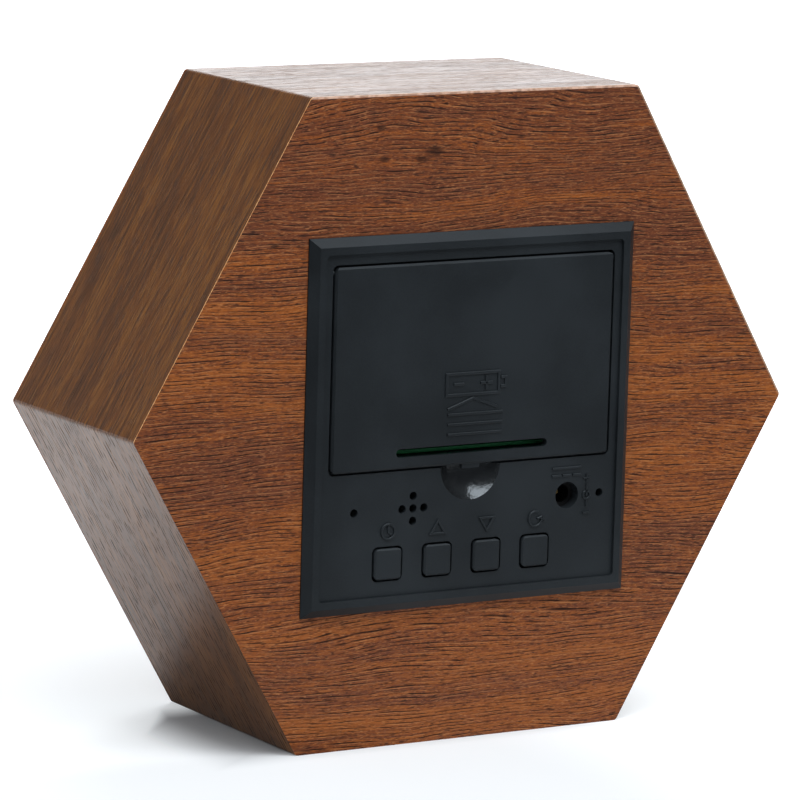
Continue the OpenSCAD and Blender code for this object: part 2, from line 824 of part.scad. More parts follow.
// Leads from the contact tails to the control board
module battery_lead(side, route) {
    start = [for (p = tail_places()) if (p[0] == side) p[1]][0];
    path = concat(
        [[side * (box_w / 2 + wire_d / 2), start, box_floor_o - box_t - tail_l + 0.4]],
        route,
        [[route[len(route) - 1][0], route[len(route) - 1][1], pcb_in_o]]
    );
    at_back() tube(path, wire_d, 8, [for (p = path) [1, 0.2, 0]]);
}

module positive_lead() {
    color("#b3261e") battery_lead(1, positive_route);
}

module negative_lead() {
    color("#1a1a1c") battery_lead(-1, negative_route);
}

// Display
module segment(l, w) {
    half = w / 2;
    polygon([
        [-l / 2, 0], [half - l / 2, half], [l / 2 - half, half],
        [l / 2, 0], [l / 2 - half, -half], [half - l / 2, -half]
    ]);
}

// Middle and turn of each of a digit's seven segments
segment_gap = 0.5;
function digit_segments() = concat(
    [for (j = [-1:1]) [[0, j * (digit_h - segment_w) / 2], 0, digit_w - segment_w - segment_gap]],
    [
        for (i = [-1, 1], j = [-1, 1]) [
            [i * (digit_w - segment_w) / 2, j * (digit_h - segment_w) / 4],
            90, (digit_h - segment_w) / 2 - segment_gap
        ]
    ]
);
module segment_shapes(spread) {
    for (x = digit_places, s = digit_segments())
        translate([-x, 0]) translate(s[0]) rotate(s[1]) segment(s[2] + 2 * spread, segment_w + 2 * spread);
    for (j = [-1, 1]) translate([0, j * colon_rise]) circle(d = colon_d + 2 * spread);
}

module display_diffuser() {
    color("#2a2420") at_back(front_panel_o) linear_extrude(diffuser_t)
        square([window_w - 2 * slip_gap, window_h - 2 * slip_gap], center = true);
}

module segment_frame() {
    color("#d9d9d4") at_back(diffuser_o) linear_extrude(frame_back_o - diffuser_o) difference() {
        square([window_w - 2 * slip_gap, window_h - 2 * slip_gap], center = true);
        segment_shapes(guide_gap);
    }
}

module segment_guides() {
    color(milky) at_back(diffuser_o) linear_extrude(frame_back_o - diffuser_o - led_size[2] - seat_gap)
        segment_shapes(0);
}

module segment_leds() {
    color("#f2efe2") at_back(frame_back_o - led_size[2]) linear_extrude(led_size[2]) {
        for (x = digit_places, s = digit_segments())
            translate([-x, 0]) translate(s[0]) rotate(s[1])
                square([led_size[0], led_size[1]], center = true);
        for (j = [-1, 1])
            translate([0, j * colon_rise]) square([led_size[0], led_size[1]], center = true);
    }
}

module display_board() {
    color(board_green) at_back(frame_back_o) linear_extrude(pcb_t) difference() {
        square([display_pcb_w, display_pcb_h], center = true);
        for (p = display_screw_places) translate(p) circle(d = screw_d + 2 * slip_gap);
    }
}

module display_screws() {
    color(bright_metal) at_back(display_pcb_o) for (p = display_screw_places)
        translate(p) screw(display_screw_l);
}

module clock_chip() {
    color("#1c1d1f") at_back(display_pcb_o) translate(chip_place) linear_extrude(chip_size[2])
        square([chip_size[0], chip_size[1]], center = true);
}

module quartz_crystal() {
    color(bright_metal) at_back(display_pcb_o + crystal_d / 2 + glue_gap) translate(crystal_place)
        rotate([90, 0, 0]) cylinder(h = crystal_l, d = crystal_d, center = true);
}

module filter_capacitor() {
    color("#26303f") at_back(display_pcb_o) translate(capacitor_place)
        cylinder(h = capacitor_h, d = capacitor_d);
}

// Ribbon cable
module ribbon_headers() {
    color(milky) at_back() {
        translate([ribbon_u, ribbon_low_v, pcb_in_o - header_l]) linear_extrude(header_l)
            square([header_w, header_h], center = true);
        translate([ribbon_u, ribbon_high_v, display_pcb_o]) linear_extrude(header_l)
            square([header_w, header_h], center = true);
    }
}

module ribbon_cable() {
    near = pcb_in_o - header_l;
    far = display_pcb_o + header_l;
    rise = ribbon_high_v - ribbon_low_v;
    r = rise / (2 * (1 - cos(ribbon_bend)));
    run = (near - far - 2 * r * sin(ribbon_bend)) / 2;
    centre = concat(
        [[near, ribbon_low_v, 0]],
        [for (a = [0:10:ribbon_bend]) [near - run - r * sin(a), ribbon_low_v + r * (1 - cos(a)), a]],
        [for (a = [ribbon_bend - 10:-10:0]) [far + run + r * sin(a), ribbon_high_v - r * (1 - cos(a)), a]],
        [[far, ribbon_high_v, 0]]
    );
    function side(s) = [
        for (c = centre) [c[0] + s * ribbon_t / 2 * sin(c[2]), c[1] + s * ribbon_t / 2 * cos(c[2])]
    ];
    back_side = side(-1);
    color("#9aa0a6") at_back() translate([ribbon_u, 0, 0]) rotate([0, -90, 0])
        linear_extrude(ribbon_w, center = true)
            polygon(concat(side(1), [for (i = [len(centre) - 1:-1:0]) back_side[i]]));
}

wall(0);  // wall_top
wall(-60);  // wall_upper_left
wall(-120);  // wall_lower_left
wall(180);  // wall_bottom
wall(120);  // wall_lower_right
wall(60);  // wall_upper_right
back_panel();
back_veneer();
front_panel();
front_veneer();
rear_housing();
battery_door();
button(0);  // set_button
button(1);  // up_button
button(2);  // down_button
button(3);  // reset_button
plunger(0);  // set_plunger
plunger(1);  // up_plunger
plunger(2);  // down_plunger
plunger(3);  // reset_plunger
switch_bodies();
control_board();
control_board_screws();
dc_jack();
dc_jack_pin();
buzzer();
microphone();
thermistor();
battery(0);  // battery_lower
battery(1);  // battery_middle
battery(2);  // battery_upper
battery_springs();
battery_contacts();
positive_lead();
negative_lead();
display_diffuser();
segment_frame();
segment_guides();
segment_leds();
display_board();
display_screws();
clock_chip();
quartz_crystal();
filter_capacitor();
ribbon_headers();
ribbon_cable();
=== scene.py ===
import math
from dataclasses import dataclass, replace

import bmesh
import bpy
from mathutils import Matrix, Vector


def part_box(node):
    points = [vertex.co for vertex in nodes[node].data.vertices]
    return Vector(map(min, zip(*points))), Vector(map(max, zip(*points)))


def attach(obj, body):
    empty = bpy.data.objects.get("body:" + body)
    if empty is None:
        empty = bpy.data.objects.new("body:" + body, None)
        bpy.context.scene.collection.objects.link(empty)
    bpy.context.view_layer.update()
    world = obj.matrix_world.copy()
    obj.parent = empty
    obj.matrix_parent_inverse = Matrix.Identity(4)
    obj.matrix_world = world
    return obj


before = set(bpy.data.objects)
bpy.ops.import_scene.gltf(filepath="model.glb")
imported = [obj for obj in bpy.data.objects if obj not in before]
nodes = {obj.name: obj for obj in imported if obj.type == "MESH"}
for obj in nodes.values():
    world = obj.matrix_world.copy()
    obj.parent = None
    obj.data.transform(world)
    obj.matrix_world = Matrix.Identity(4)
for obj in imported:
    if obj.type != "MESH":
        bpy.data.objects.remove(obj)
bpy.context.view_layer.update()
scene = bpy.context.scene
MM = 0.001
SIXTY = math.radians(60)

# The outer faces of the wood and the middle of its height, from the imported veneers
BACK_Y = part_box("back_veneer")[1].y
FRONT_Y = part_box("front_veneer")[0].y
MID_Z = (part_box("back_veneer")[0].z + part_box("back_veneer")[1].z) / 2

# The clock stands on z = 0, so this is also the distance from its middle to each wall
APOTHEM = MID_Z


# Node helpers

def fill(tree, node, inputs):
    """Sets or links a node's inputs, by name or number."""
    for key, value in inputs.items():
        if isinstance(value, bpy.types.NodeSocket):
            tree.links.new(value, node.inputs[key])
        else:
            node.inputs[key].default_value = value


def add(tree, kind, inputs=None, **settings):
    """A shader node with its settings and inputs."""
    made = tree.nodes.new(kind)
    for key, value in settings.items():
        setattr(made, key, value)
    fill(tree, made, inputs or {})
    return made


def math_node(tree, operation, a, b=0.0):
    return add(tree, "ShaderNodeMath", {0: a, 1: b}, operation=operation).outputs[0]


def plus(tree, a, b):
    return math_node(tree, "ADD", a, b)


def minus(tree, a, b):
    return math_node(tree, "SUBTRACT", a, b)


def times(tree, a, b):
    return math_node(tree, "MULTIPLY", a, b)


def most(tree, a, b):
    return math_node(tree, "MAXIMUM", a, b)


def axes_of(tree, vector):
    return add(tree, "ShaderNodeSeparateXYZ", {0: vector}).outputs


def ramp01(tree, value, low, high, to_low=0.0, to_high=1.0):
    """value from low..high to to_low..to_high, smooth and clamped."""
    return add(tree, "ShaderNodeMapRange", {
        "Value": value, "From Min": low, "From Max": high, "To Min": to_low, "To Max": to_high,
    }, interpolation_type="SMOOTHSTEP").outputs[0]


def mix(tree, fac, a, b):
    return add(tree, "ShaderNodeMixRGB", {"Fac": fac, "Color1": a, "Color2": b}).outputs[0]


def blend_tones(tree, fac, dark, light, middle=None):
    """From dark to light, by way of a middle tone if there is one."""
    ramp = add(tree, "ShaderNodeValToRGB", {"Fac": fac})
    stops = ramp.color_ramp.elements
    stops[0].color = (*dark, 1)
    stops[1].color = (*light, 1)
    if middle:
        stops.new(0.5).color = (*middle, 1)
    return ramp.outputs[0]


def noise(tree, vector, detail=2.0, rough=0.5):
    return add(tree, "ShaderNodeTexNoise", {
        "Vector": vector, "Scale": 1.0, "Detail": detail, "Roughness": rough,
    }).outputs["Fac"]


def stretch(tree, vector, x, y, z):
    """The coordinates divided by a feature size in mm along each axis."""
    size = (1 / (x * MM), 1 / (y * MM), 1 / (z * MM))
    return add(tree, "ShaderNodeVectorMath", {0: vector, 1: size}, operation="MULTIPLY").outputs[0]


def drawn_out(tree, vector, length, width):
    """The coordinates divided by the size in mm of a feature that runs along X."""
    return stretch(tree, vector, length, width, width)


def even(tree, vector, size):
    return stretch(tree, vector, size, size, size)


def moved(tree, vector, by):
    return add(tree, "ShaderNodeVectorMath", {0: vector, 1: by}, operation="ADD").outputs[0]


def bump(tree, height, strength, distance_mm):
    return add(tree, "ShaderNodeBump", {
        "Height": height, "Strength": strength, "Distance": distance_mm * MM,
    }).outputs[0]


def new_material(name):
    made = bpy.data.materials.new(name)
    made.use_nodes = True
    tree = made.node_tree
    tree.nodes.clear()
    out = add(tree, "ShaderNodeOutputMaterial")
    shader = add(tree, "ShaderNodeBsdfPrincipled")
    tree.links.new(shader.outputs[0], out.inputs["Surface"])
    coords = add(tree, "ShaderNodeTexCoord").outputs["Object"]
    return made, tree, shader, coords


# Wood-grain film

@dataclass(frozen=True)
class Grain:
    """How a film's grain looks. Lengths and widths are in mm; a limit named from is one of noise, 0 to 1."""
    wavy: float = 1.0            # how far the figure wanders across the board
    bands: float = 0.46          # share of broad bands in the figure; streaks and fibres have the rest
    top_shade: float = 0.0       # how much darker the figure is near the top
    fibre_length: float = 10.0
    fibre_width: float = 0.18
    coarse: float = 1.0          # widens the fibres and lines
    run: float = 7.0             # length of the bold lines
    lines_from: float = 0.42
    faintest: float = 0.06       # what is left of a bold line where it fades
    deepest: float = 0.95        # how dark the lines are
    short: float = 2.2           # length of the slight lines
    slight_width: float = 0.25
    slight_from: float = 0.59
    lip_glints_from: float = 0.50
    lip_glint: float = 0.32            # how pale the lips below the lines are, a painted highlight
    fleck_glints: float = 0.0          # how pale the flecks between the lines are, painted glints
    gloss: float = 0.3
    uneven: float = 0.15         # how far the coat varies
    groove: float = 0.35         # strength of the relief


SEED_STEP = (0.173, 0.311, 0.097)
LINE_SPACING = 0.86
LINE_PIECE_WIDTH = 0.34
FLECK_LENGTH, FLECK_WIDTH = 1.0, 0.17


def wandering(tree, coords, turn, seed, wavy):
    """Coordinates along the grain, which wanders across the board and ripples more towards the top."""
    turned = add(tree, "ShaderNodeVectorRotate", {
        "Vector": coords, "Rotation": (0, turn, 0),
    }, rotation_type="EULER_XYZ").outputs[0]
    straight = moved(tree, turned, tuple(seed * step for step in SEED_STEP))
    wander = minus(tree, noise(tree, drawn_out(tree, straight, 60, 22), 2, 0.4), 0.5)
    ripple = minus(tree, noise(tree, drawn_out(tree, straight, 7.0, 5.0), 1), 0.5)
    lively = ramp01(tree, axes_of(tree, coords)["Z"], 0.080, 0.116, 0.0001, 0.0004)
    push = plus(tree, times(tree, wander, 0.0056 * wavy),
                times(tree, times(tree, ripple, lively), wavy))
    across = add(tree, "ShaderNodeCombineXYZ", {"X": 0.0, "Y": push, "Z": push}).outputs[0]
    return moved(tree, straight, across)


def lens(tree, coords, x, z, half_x, half_z):
    """Distance from a place on the back face, 1 at the edge of a lens with the half sizes given, in mm."""
    near = moved(tree, coords, (-x * MM, -BACK_Y, -z * MM))
    squeezed = add(tree, "ShaderNodeVectorMath", {
        0: near, 1: (1 / (half_x * MM), 0.0, 1 / (half_z * MM)),
    }, operation="MULTIPLY").outputs[0]
    return add(tree, "ShaderNodeVectorMath", {0: squeezed}, operation="LENGTH").outputs["Value"]


def figure_of(tree, coords, warped, grain, shades):
    """The figure, dark to light, and the streaks and fibres in it."""
    band = noise(tree, drawn_out(tree, warped, 100, 7.0), 3, 0.55)
    streak = noise(tree, drawn_out(tree, warped, 20, 0.55), 2, 0.55)
    fibre_width = grain.fibre_width * grain.coarse
    fibre = noise(tree, drawn_out(tree, warped, grain.fibre_length, fibre_width), 1)
    fine_share = (1 - grain.bands) * 0.5
    figure = plus(tree, times(tree, band, grain.bands), times(tree, streak, fine_share))
    figure = plus(tree, figure, times(tree, fibre, fine_share))
    near_top = ramp01(tree, axes_of(tree, coords)["Z"], 0.086, 0.108, 0.0, -grain.top_shade)
    figure = plus(tree, figure, near_top)
    for x, z, half_x, half_z, depth in shades:
        shade = ramp01(tree, lens(tree, coords, x, z, half_x, half_z), 1.0, 0.2, 0.0, depth)
        figure = minus(tree, figure, shade)
    return figure, streak, fibre


def pressed_lines(tree, warped, grain):
    """Thin lines that run along the grain and come and go. Below them are faint pale lips, a painted
    highlight where each groove's lower edge would catch light from above, and pale flecks, painted glints.
    """
    axes = axes_of(tree, warped)
    cross = plus(tree, axes["Y"], axes["Z"])
    crowd = times(tree, noise(tree, drawn_out(tree, warped, 40, 6.0), 2), 2.4 / grain.coarse)
    rows = plus(tree, math_node(tree, "DIVIDE", cross, LINE_SPACING * grain.coarse * MM), crowd)

    def line_at(shift, half):
        part_of_row = math_node(tree, "FRACT", plus(tree, rows, shift))
        off_line = math_node(tree, "ABSOLUTE", minus(tree, part_of_row, 0.5))
        return ramp01(tree, off_line, half, half * 0.4)

    def broken(length, width):
        return noise(tree, drawn_out(tree, warped, length, width * grain.coarse), 1)

    pieces = broken(grain.run, LINE_PIECE_WIDTH)
    shown = ramp01(tree, pieces, grain.lines_from, 0.60, grain.faintest, 1.0)
    bold = times(tree, line_at(0.0, 0.18), shown)
    slight_to = grain.slight_from + 0.13
    slight = ramp01(tree, broken(grain.short, grain.slight_width), grain.slight_from, slight_to, 0.0, 0.70)
    # Painted highlight: a pale lip just below each line, with painted glints of pale flecks joined to it
    lip_glints = times(tree, line_at(0.30, 0.14), ramp01(tree, pieces, grain.lip_glints_from, 0.64, 0.0, grain.lip_glint))
    if grain.fleck_glints:
        pale = ramp01(tree, broken(FLECK_LENGTH, FLECK_WIDTH), 0.57, 0.70, 0.0, grain.fleck_glints)
        lip_glints = most(tree, lip_glints, pale)
    return most(tree, bold, slight), lip_glints


def with_bare_edge(tree, coords, colour, streak, rim):
    """The bare core of the film, along the outer part of its cut edge."""
    bare = ramp01(tree, axes_of(tree, coords)["Y"], BACK_Y - 0.32 * MM, BACK_Y - 0.24 * MM)
    core = mix(tree, ramp01(tree, streak, 0.3, 0.7), (*rim[0], 1), (*rim[1], 1))
    return mix(tree, bare, colour, core)


def with_wear_and_highlight(tree, coords, colour, worn_and_lit):
    """The bare core along the top and upper right outline of the back, as seen from behind, where wear shows
    it. It is painted dimmer along the slope as shade and paler along the top as a highlight.
    """
    axes = axes_of(tree, coords)
    up = minus(tree, axes["Z"], MID_Z)
    slope = minus(tree, times(tree, up, math.cos(SIXTY)), times(tree, axes["X"], math.sin(SIXTY)))
    patchy = ramp01(tree, noise(tree, even(tree, coords, 1.6), 2), 0.36, 0.60, 0.45, 0.90)
    # The slope's tone is painted dimmer as shade, and the top's tone paler as a highlight
    for outer, width, tone in ((slope, 0.42, worn_and_lit[0]), (up, 0.50, worn_and_lit[1])):
        bare = ramp01(tree, outer, APOTHEM - width * MM, APOTHEM - (width - 0.15) * MM)
        colour = mix(tree, times(tree, bare, patchy), colour, (*tone, 1))
    return colour


def wood(name, turn, seed, tones, grain, knots=(), shades=(), rim=None, worn_and_lit=None):
    """Wood-grain film. turn is the grain's angle in XZ. tones are dark, middle, light, pores and lips; the
    pale lips below the pores are a painted highlight.
    knots are x, z and size of pin knots; shades are x, z, half length, half height and depth of dark places.
    rim has the tones of the bare core along a cut edge. The tones along the outline of the back are the worn
    bare core, painted dimmer on the slope as shade and paler on top as a highlight."""
    made, tree, shader, coords = new_material(name)
    dark, middle, light, pore, lip_glint = tones
    warped = wandering(tree, coords, turn, seed, grain.wavy)
    figure, streak, fibre = figure_of(tree, coords, warped, grain, shades)
    lines, lip_glints = pressed_lines(tree, warped, grain)
    colour = blend_tones(tree, ramp01(tree, figure, 0.39, 0.61), dark, light, middle)
    # Painted highlight: the lips below the lines take their pale tone
    colour = mix(tree, lip_glints, colour, (*lip_glint, 1))
    colour = mix(tree, times(tree, lines, grain.deepest), colour, (*pore, 1))

    # Each knot is a small dark lens with the grain
    for x, z, size in knots:
        far = lens(tree, coords, x, z, size * 1.8, size)
        ragged = plus(tree, far, minus(tree, streak, 0.5))
        colour = mix(tree, ramp01(tree, ragged, 1.15, 0.25, 0.0, 0.70), colour, (*pore, 1))
    if rim:
        colour = with_bare_edge(tree, coords, colour, streak, rim)
    if worn_and_lit:
        colour = with_wear_and_highlight(tree, coords, colour, worn_and_lit)

    # The coat is uneven along the grain, and missing in the pressed lines
    patches = noise(tree, drawn_out(tree, warped, 34, 2.2), 2)
    coat = times(tree, ramp01(tree, patches, 0.34, 0.66, 1 - grain.uneven, 1 + grain.uneven),
                 ramp01(tree, lines, 0.0, 1.0, grain.gloss, 0.0))
    rough = plus(tree, 0.24, times(tree, streak, 0.12))
    rough = plus(tree, rough, times(tree, lines, 0.60))
    relief = minus(tree, times(tree, fibre, 0.4), lines)
    fill(tree, shader, {
        "Base Color": colour, "Roughness": rough, "Specular IOR Level": 0.28 + grain.gloss / 2,
        "Coat Weight": coat, "Coat Roughness": 0.22,
        "Normal": bump(tree, relief, grain.groove, 0.04),
    })
    return made


# Other materials

def moulded(name, colour, rough=0.46, grain_mm=0.32, relief=0.012, vary=0.25, level=0.5, gleam=(1, 1, 1)):
    """Moulded plastic with the fine bloom of an eroded tool and slight differences of tone."""
    made, tree, shader, coords = new_material(name)
    broad = noise(tree, even(tree, coords, 24), 3, 0.55)
    fine = noise(tree, even(tree, coords, grain_mm), 2, 0.6)
    darker = tuple(c * (1 - vary) for c in colour)
    lighter = tuple(c * (1 + vary) for c in colour)
    tone = plus(tree, times(tree, broad, 0.7), times(tree, fine, 0.3))
    fill(tree, shader, {
        "Base Color": mix(tree, ramp01(tree, tone, 0.36, 0.64), (*darker, 1), (*lighter, 1)),
        "Roughness": ramp01(tree, tone, 0.3, 0.7, rough - 0.05, rough + 0.05),
        "Specular IOR Level": level, "Specular Tint": (*gleam, 1),
        "Normal": bump(tree, fine, 0.3, relief),
    })
    return made


def metal(name, colour, rough):
    """Plated metal with drawn lines and slight tarnish."""
    made, tree, shader, coords = new_material(name)
    lines = noise(tree, drawn_out(tree, coords, 6.0, 0.12), 3, 0.6)
    cloud = noise(tree, even(tree, coords, 3.5), 3, 0.6)
    dull = tuple(c * 0.68 for c in colour)
    fill(tree, shader, {
        "Base Color": mix(tree, ramp01(tree, cloud, 0.35, 0.7), (*colour, 1), (*dull, 1)),
        "Metallic": 1.0, "Roughness": ramp01(tree, lines, 0.3, 0.7, rough - 0.1, rough + 0.12),
        "Normal": bump(tree, lines, 0.2, 0.01),
    })
    return made


def fibreboard(name):
    """Raw board: pale brown with pressed fibres."""
    made, tree, shader, coords = new_material(name)
    flakes = noise(tree, stretch(tree, coords, 1.6, 0.7, 1.6), 4, 0.65)
    cloud = noise(tree, even(tree, coords, 14), 2)
    tone = plus(tree, times(tree, flakes, 0.7), times(tree, cloud, 0.3))
    light_share = ramp01(tree, tone, 0.32, 0.68)
    fill(tree, shader, {
        "Base Color": blend_tones(tree, light_share, (0.16, 0.085, 0.040), (0.48, 0.31, 0.17)),
        "Roughness": 0.8, "Specular IOR Level": 0.2,
        "Normal": bump(tree, flakes, 0.35, 0.08),
    })
    return made


def circuit_board(name):
    """Green solder mask with copper runs showing faintly through it."""
    made, tree, shader, coords = new_material(name)
    upright = add(tree, "ShaderNodeMapping", {
        "Vector": coords, "Rotation": (math.pi / 2, 0, 0), "Scale": (260, 260, 260),
    }).outputs[0]
    runs = add(tree, "ShaderNodeTexBrick", {
        "Vector": upright,
        "Color1": (1, 1, 1, 1), "Color2": (0.8, 0.8, 0.8, 1), "Mortar": (0, 0, 0, 1),
        "Scale": 1.0, "Mortar Size": 0.06, "Brick Width": 1.7, "Row Height": 0.42,
    }).outputs["Fac"]
    cloud = noise(tree, even(tree, coords, 6), 3)
    colour = mix(tree, ramp01(tree, cloud, 0.35, 0.65), (0.006, 0.075, 0.028, 1), (0.012, 0.115, 0.045, 1))
    fill(tree, shader, {
        "Base Color": mix(tree, times(tree, runs, 0.6), colour, (0.035, 0.20, 0.075, 1)),
        "Roughness": ramp01(tree, cloud, 0.3, 0.7, 0.28, 0.42),
        "Normal": bump(tree, runs, 0.25, 0.03),
    })
    return made


def cell_wrap(name, positive_side):
    """Shrink wrap round a cell: green, with a pale band near its positive end and bare steel past it."""
    made, tree, shader, coords = new_material(name)
    along = times(tree, axes_of(tree, coords)["X"], positive_side / MM)
    cloud = noise(tree, stretch(tree, coords, 9, 3, 3), 3)
    colour = mix(tree, ramp01(tree, cloud, 0.3, 0.7), (0.012, 0.20, 0.075, 1), (0.022, 0.30, 0.115, 1))
    colour = mix(tree, ramp01(tree, along, 12.0, 12.2), colour, (0.62, 0.60, 0.52, 1))
    colour = mix(tree, ramp01(tree, along, 13.6, 13.8), colour, (0.014, 0.22, 0.085, 1))
    bare = ramp01(tree, along, 20.1, 20.2)
    fill(tree, shader, {
        "Base Color": mix(tree, bare, colour, (0.62, 0.62, 0.60, 1)), "Metallic": bare,
        "Roughness": ramp01(tree, cloud, 0.3, 0.7, 0.22, 0.34),
        "Normal": bump(tree, cloud, 0.12, 0.03),
    })
    return made


def insulating_paper(name):
    """Green pressed paper with short fibres."""
    made, tree, shader, coords = new_material(name)
    fibres = noise(tree, drawn_out(tree, coords, 2.2, 0.4), 3, 0.6)
    light_share = ramp01(tree, fibres, 0.3, 0.7)
    fill(tree, shader, {
        "Base Color": mix(tree, light_share, (0.055, 0.40, 0.15, 1), (0.095, 0.56, 0.22, 1)),
        "Roughness": ramp01(tree, fibres, 0.3, 0.7, 0.6, 0.8),
        "Normal": bump(tree, fibres, 0.3, 0.05),
    })
    return made


def ribbon_wire(name):
    """Flat grey cable of fine parallel wires."""
    made, tree, shader, coords = new_material(name)
    wire_pitch = 1.0 * MM
    waves = math_node(tree, "SINE", times(tree, axes_of(tree, coords)["X"], 2 * math.pi / wire_pitch))
    cloud = noise(tree, even(tree, coords, 5), 2)
    colour = mix(tree, ramp01(tree, cloud, 0.3, 0.7), (0.27, 0.28, 0.30, 1), (0.38, 0.39, 0.41, 1))
    fill(tree, shader, {
        "Base Color": mix(tree, ramp01(tree, waves, -0.5, -1.0, 0.0, 0.6), colour, (0.12, 0.12, 0.13, 1)),
        "Roughness": 0.5,
        "Normal": bump(tree, waves, 0.5, 0.1),
    })
    return made


def lit_segment(name):
    """Light that comes through the wood film, crossed by the film's darker streaks."""
    made, tree, shader, coords = new_material(name)
    streak = noise(tree, drawn_out(tree, coords, 11, 0.62), 3, 0.6)
    pore = noise(tree, drawn_out(tree, coords, 2.6, 0.27), 1)
    glow = mix(tree, ramp01(tree, streak, 0.3, 0.7), (0.78, 0.72, 0.62, 1), (1.0, 0.97, 0.92, 1))
    glow = mix(tree, ramp01(tree, pore, 0.58, 0.7, 0.0, 0.55), glow, (0.42, 0.30, 0.20, 1))
    fill(tree, shader, {
        "Emission Color": glow, "Emission Strength": 1.0,
        "Base Color": mix(tree, streak, (0.40, 0.30, 0.22, 1), (0.55, 0.42, 0.32, 1)),
        "Roughness": 0.45,
    })
    return made


# Finishes of the CAD nodes

# dark, middle, light, pores, and the pale lips below the pores, a painted highlight
BACK_TONES = ((0.138, 0.039, 0.0150), (0.224, 0.059, 0.0120), (0.312, 0.088, 0.0130),
              (0.010, 0.003, 0.002), (0.56, 0.245, 0.095))
SIDE_TONES = ((0.090, 0.039, 0.017), (0.150, 0.054, 0.017), (0.224, 0.091, 0.022),
              (0.018, 0.011, 0.008), (0.25, 0.135, 0.056))

# The film's core, worn bare at the slope and the top of the back: painted dim grey-tan on the slope as shade,
# and pale pink along the top as a painted highlight. Then the two tones of its cut edge
WORN_AND_LIT_TONES = ((0.47, 0.33, 0.23), (0.78, 0.50, 0.37))
CORE_TONES = ((0.52, 0.22, 0.08), (0.84, 0.46, 0.20))

KNOTS = (
    (9.5, 118.4, 1.3), (12.6, 116.9, 1.0), (21.0, 117.2, 0.8), (21.6, 123.5, 0.7), (45.0, 101.5, 0.6),
)
SHADES = (
    (52.0, 54.0, 26.0, 11.0, 0.05), (-46.0, 31.0, 22.0, 11.0, 0.08), (-34.0, 120.0, 26.0, 22.0, 0.04),
)

FLAT_GRAIN = Grain(
    bands=0.40, fibre_length=0.9, fibre_width=0.22, coarse=0.92, faintest=0.08, short=1.8,
    slight_width=0.20, slight_from=0.55, lip_glints_from=0.42, lip_glint=0.42, fleck_glints=0.40, gloss=0.05,
)
WALL_GRAIN = Grain(
    wavy=0.6, bands=0.22, fibre_length=5.0, fibre_width=0.20, coarse=1.25, run=4.0,
    faintest=0.10, deepest=0.66, gloss=0.50,
)
TOP_GRAIN = replace(WALL_GRAIN, uneven=0.5, groove=0.75)
LOWER_RIGHT_GRAIN = replace(
    WALL_GRAIN, run=3.4, lines_from=0.48, faintest=0.0, deepest=0.9, slight_from=0.65, gloss=0.465,
)
EDGE_GRAIN = Grain(wavy=0.2)

back_wood = wood("wood_film_back", 0.0, 1, BACK_TONES, replace(FLAT_GRAIN, top_shade=0.07),
                 knots=KNOTS, shades=SHADES, worn_and_lit=WORN_AND_LIT_TONES)
front_wood = wood("wood_film_front", 0.0, 5, BACK_TONES, FLAT_GRAIN)

# Left and right are as seen from the front
wall_wood = {
    "wall_top": wood("wood_film_top", 0.0, 2, SIDE_TONES, TOP_GRAIN),
    "wall_bottom": wood("wood_film_bottom", 0.0, 3, SIDE_TONES, WALL_GRAIN),
    "wall_upper_left": wood("wood_film_upper_left", SIXTY, 4, SIDE_TONES, WALL_GRAIN),
    "wall_lower_left": wood("wood_film_lower_left", -SIXTY, 6, SIDE_TONES, WALL_GRAIN),
    "wall_upper_right": wood("wood_film_upper_right", -SIXTY, 7, SIDE_TONES, WALL_GRAIN),
    "wall_lower_right": wood("wood_film_lower_right", SIXTY, 8, SIDE_TONES, LOWER_RIGHT_GRAIN),
}
film_edge = wood("wood_film_cut_edge", 0.0, 9, SIDE_TONES, EDGE_GRAIN, rim=CORE_TONES)
raw_board = fibreboard("raw_fibreboard")
COOL = (0.84, 0.93, 1.0)
black = moulded("black_moulded_plastic", (0.0122, 0.0153, 0.0180), level=0.43, gleam=COOL)
black_smooth = moulded("black_polished_plastic", (0.0125, 0.0138, 0.0150), rough=0.17, grain_mm=0.7,
                       relief=0.25, level=0.64, gleam=COOL)
dark = moulded("dark_plastic", (0.0060, 0.0064, 0.0070), rough=0.55, level=0.3)
board = circuit_board("green_circuit_board")
steel = metal("plated_steel", (0.62, 0.62, 0.60), 0.28)
brass = metal("brass", (0.72, 0.50, 0.20), 0.26)
milky = moulded("milky_plastic", (0.68, 0.68, 0.64), rough=0.42, vary=0.06)
smoked = moulded("smoked_plastic", (0.022, 0.018, 0.015), rough=0.35)
red_wire = moulded("red_wire_sleeve", (0.40, 0.022, 0.016), rough=0.4, vary=0.15)
black_wire = moulded("black_wire_sleeve", (0.012, 0.012, 0.013), rough=0.4)
blue_sleeve = moulded("blue_capacitor_sleeve", (0.016, 0.028, 0.075), rough=0.34, vary=0.15)
ribbon = ribbon_wire("grey_ribbon")
lit = lit_segment("lit_segment")

